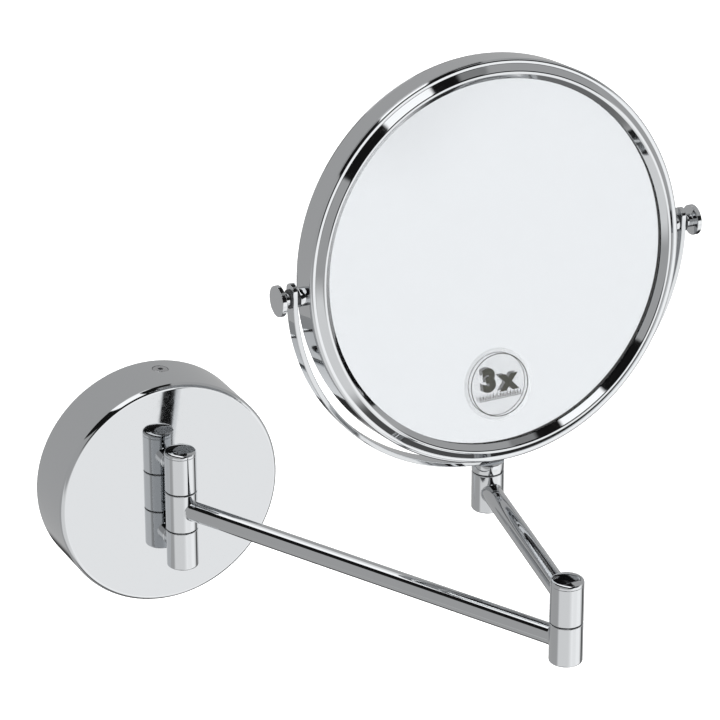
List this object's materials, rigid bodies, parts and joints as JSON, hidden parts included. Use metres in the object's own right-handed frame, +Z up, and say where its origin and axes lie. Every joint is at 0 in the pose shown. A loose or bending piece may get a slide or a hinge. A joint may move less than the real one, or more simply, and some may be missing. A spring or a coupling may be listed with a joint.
{
  "type": "extendable shaving mirror",
  "caption": "Wall-mounted round two-sided mirror on a folding arm with a drum base, hinged elbow, swivelling U yoke and tilt knobs.",
  "frame": {"origin": "centre of the wall plate on the wall plane", "axes": "+Z up, -Y out of the wall towards the user, +X to the right as seen by the user"},
  "size_m": [0.2982, 0.259, 0.298],
  "materials": {
    "chrome": "bright chrome-plated brass, mirror polished",
    "core_plastic": "moulded ABS, dark grey",
    "label_film": "clear printed polyester film",
    "mirror_glass": "silvered float glass",
    "nylon": "moulded black nylon",
    "steel": "plain turned stainless steel",
    "zinc_steel": "pressed steel, bright zinc plated"
  },
  "bodies": {
    "wall_mount": {"wall_bracket": "zinc_steel", "base_cover": "chrome", "cover_screw": "chrome", "wall_stub_upper": "chrome", "wall_stub_lower": "chrome", "stub_nut_upper": "steel", "stub_nut_lower": "steel", "wall_knuckle_upper": "chrome", "wall_knuckle_lower": "chrome", "wall_hinge_pin": "steel", "wall_column_cap": "chrome", "wall_washer_upper": "nylon", "wall_washer_lower": "nylon"},
    "inner_arm": {"wall_knuckle_middle": "chrome", "inner_arm_tube": "chrome", "elbow_knuckle_lower": "chrome", "elbow_pin": "steel", "elbow_washer": "nylon"},
    "outer_arm": {"elbow_knuckle_upper": "chrome", "elbow_cap": "chrome", "outer_arm_tube": "chrome", "swivel_knuckle": "chrome", "swivel_washer": "nylon", "swivel_plug": "nylon"},
    "yoke": {"yoke_seat": "chrome", "yoke_band": "chrome", "swivel_pin": "steel", "yoke_screw": "steel", "left_inner_washer": "nylon", "right_inner_washer": "nylon", "left_outer_washer": "nylon", "right_outer_washer": "nylon"},
    "mirror_head": {"rim_band": "chrome", "front_bezel": "chrome", "rear_bezel": "chrome", "magnifying_glass": "mirror_glass", "plain_glass": "mirror_glass", "head_core": "core_plastic", "magnification_label": "label_film", "left_pivot_boss": "chrome", "right_pivot_boss": "chrome", "left_pivot_stud": "steel", "right_pivot_stud": "steel"},
    "left_knob": {"left_knob": "chrome"},
    "right_knob": {"right_knob": "chrome"}
  },
  "joints": [
    {"name": "wall_swing", "type": "hinge", "parent": "wall_mount", "child": "inner_arm", "pos_m": [0, -0.0455, -0.0025], "axis": [0, 0, 1], "range_deg": [-116.7, 63.3]},
    {"name": "elbow_fold", "type": "hinge", "parent": "inner_arm", "child": "outer_arm", "pos_m": [0.10334, -0.25098, 0.0079], "axis": [0, 0, 1], "continuous": true},
    {"name": "yoke_swivel", "type": "hinge", "parent": "outer_arm", "child": "yoke", "pos_m": [0.1262, -0.13114, 0.0287], "axis": [0, 0, 1], "continuous": true},
    {"name": "head_tilt", "type": "hinge", "parent": "yoke", "child": "mirror_head", "pos_m": [0.1262, -0.13114, 0.14], "axis": [1, 0, 0], "continuous": true},
    {"name": "left_knob_turn", "type": "hinge", "parent": "mirror_head", "child": "left_knob", "pos_m": [0.0152, -0.13114, 0.14], "axis": [1, 0, 0], "range_deg": [-180, 180]},
    {"name": "right_knob_turn", "type": "hinge", "parent": "mirror_head", "child": "right_knob", "pos_m": [0.2372, -0.13114, 0.14], "axis": [1, 0, 0], "range_deg": [-180, 180]}
  ]
}
